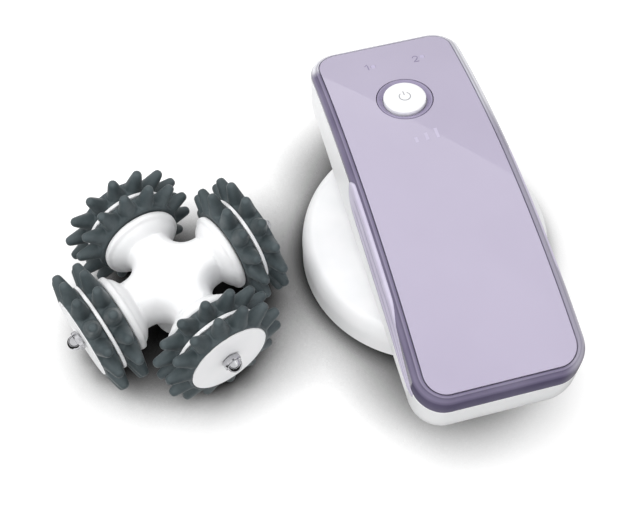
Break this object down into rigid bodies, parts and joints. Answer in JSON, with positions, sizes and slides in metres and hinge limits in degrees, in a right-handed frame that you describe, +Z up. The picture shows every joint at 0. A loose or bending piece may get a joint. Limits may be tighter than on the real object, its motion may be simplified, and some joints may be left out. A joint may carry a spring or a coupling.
{
  "type": "anti-cellulite massager",
  "caption": "Arched handheld massager on a round drive base, with its star-shaped head of spiked rubber rollers taken off and lying beside it.",
  "frame": {"origin": "the spindle's axis at the table, which is the centre of the round drive base's lower rim", "axes": "+Z is up, out of the table. The handle runs along Y, with its power button towards +Y and the battery end towards -Y. The loose head lies at -X."},
  "size_m": [0.2087, 0.1674, 0.062],
  "materials": {
    "white_gloss": "glossy white moulded plastic",
    "smoky_lilac": "tinted, slightly clear lilac plastic, polished",
    "lavender_gloss": "glossy lavender panel",
    "lavender_grip": "satin lavender grip",
    "slate_rubber": "soft slate-grey rubber, satin",
    "steel": "bright turned steel",
    "chrome": "chrome-plated",
    "brass": "plain brass",
    "gear_plastic": "natural acetal",
    "circuit_board": "green solder mask",
    "black_plastic": "matt black moulding",
    "battery_jacket": null,
    "clear_lens": "clear light pipe"
  },
  "bodies": {
    "main_unit": {"drive_housing": "white_gloss", "base_plate": "white_gloss", "lower_casing": "white_gloss", "top_cover": "smoky_lilac", "control_panel": "lavender_gloss", "button_bezel": "smoky_lilac", "light_pipe": "clear_lens", "grip_left": "lavender_grip", "grip_right": "lavender_grip", "control_board": "circuit_board", "tact_switch": "black_plastic", "battery_tray": "black_plastic", "battery_cell_1": "battery_jacket", "battery_cell_2": "battery_jacket", "battery_cell_3": "battery_jacket", "battery_contact_near": "brass", "battery_contact_far": "brass", "charging_jack": "black_plastic", "motor": "steel", "motor_bracket": "white_gloss", "motor_screw_1": "steel", "motor_screw_2": "steel", "upper_bush": "brass", "lower_bush": "brass", "base_screw_1": "steel", "base_screw_2": "steel", "base_screw_3": "steel", "base_screw_4": "steel"},
    "button": {"power_button": "white_gloss", "switch_plunger": "black_plastic"},
    "output": {"drive_spindle": "steel", "drive_gear": "gear_plastic"},
    "rotor": {"motor_shaft": "steel", "motor_pinion": "brass"},
    "head": {"head_hub": "white_gloss", "drive_socket": "white_gloss", "axle_1": "steel", "axle_2": "steel", "axle_3": "steel", "axle_4": "steel", "acorn_nut_1": "chrome", "acorn_nut_2": "chrome", "acorn_nut_3": "chrome", "acorn_nut_4": "chrome"},
    "roller_1": {"roller_core_1": "white_gloss", "inner_ring_1": "slate_rubber", "outer_ring_1": "slate_rubber", "roller_cap_1": "white_gloss"},
    "roller_2": {"roller_core_2": "white_gloss", "inner_ring_2": "slate_rubber", "outer_ring_2": "slate_rubber", "roller_cap_2": "white_gloss"},
    "roller_3": {"roller_core_3": "white_gloss", "inner_ring_3": "slate_rubber", "outer_ring_3": "slate_rubber", "roller_cap_3": "white_gloss"},
    "roller_4": {"roller_core_4": "white_gloss", "inner_ring_4": "slate_rubber", "outer_ring_4": "slate_rubber", "roller_cap_4": "white_gloss"}
  },
  "joints": [
    {"name": "button_press", "type": "slide", "parent": "main_unit", "child": "button", "axis": [0, -0.1359, -0.9907], "range_m": [0, 0.001], "stiffness_N_per_m": 900},
    {"name": "spindle_turn", "type": "hinge", "parent": "main_unit", "child": "output", "pos_m": [0, 0, 0], "axis": [0, 0, 1], "continuous": true},
    {"name": "motor_turn", "type": "hinge", "parent": "main_unit", "child": "rotor", "pos_m": [0, 0.02, 0], "axis": [0, 0, 1], "continuous": true},
    {"name": "head_lift", "type": "slide", "parent": "main_unit", "child": "head", "axis": [0, 0, 1], "range_m": [0, 0.06]},
    {"name": "roller_1_turn", "type": "hinge", "parent": "head", "child": "roller_1", "pos_m": [-0.1091, -0.0026, 0.0267], "axis": [0.3697, -0.9291, 0], "continuous": true},
    {"name": "roller_2_turn", "type": "hinge", "parent": "head", "child": "roller_2", "pos_m": [-0.1091, -0.0026, 0.0267], "axis": [0.9291, 0.3697, 0], "continuous": true},
    {"name": "roller_3_turn", "type": "hinge", "parent": "head", "child": "roller_3", "pos_m": [-0.1091, -0.0026, 0.0267], "axis": [-0.3697, 0.9291, 0], "continuous": true},
    {"name": "roller_4_turn", "type": "hinge", "parent": "head", "child": "roller_4", "pos_m": [-0.1091, -0.0026, 0.0267], "axis": [-0.9291, -0.3697, 0], "continuous": true}
  ],
  "couplings": [
    {"joint": "motor_turn", "follows": "spindle_turn", "ratio": -2.5714}
  ]
}
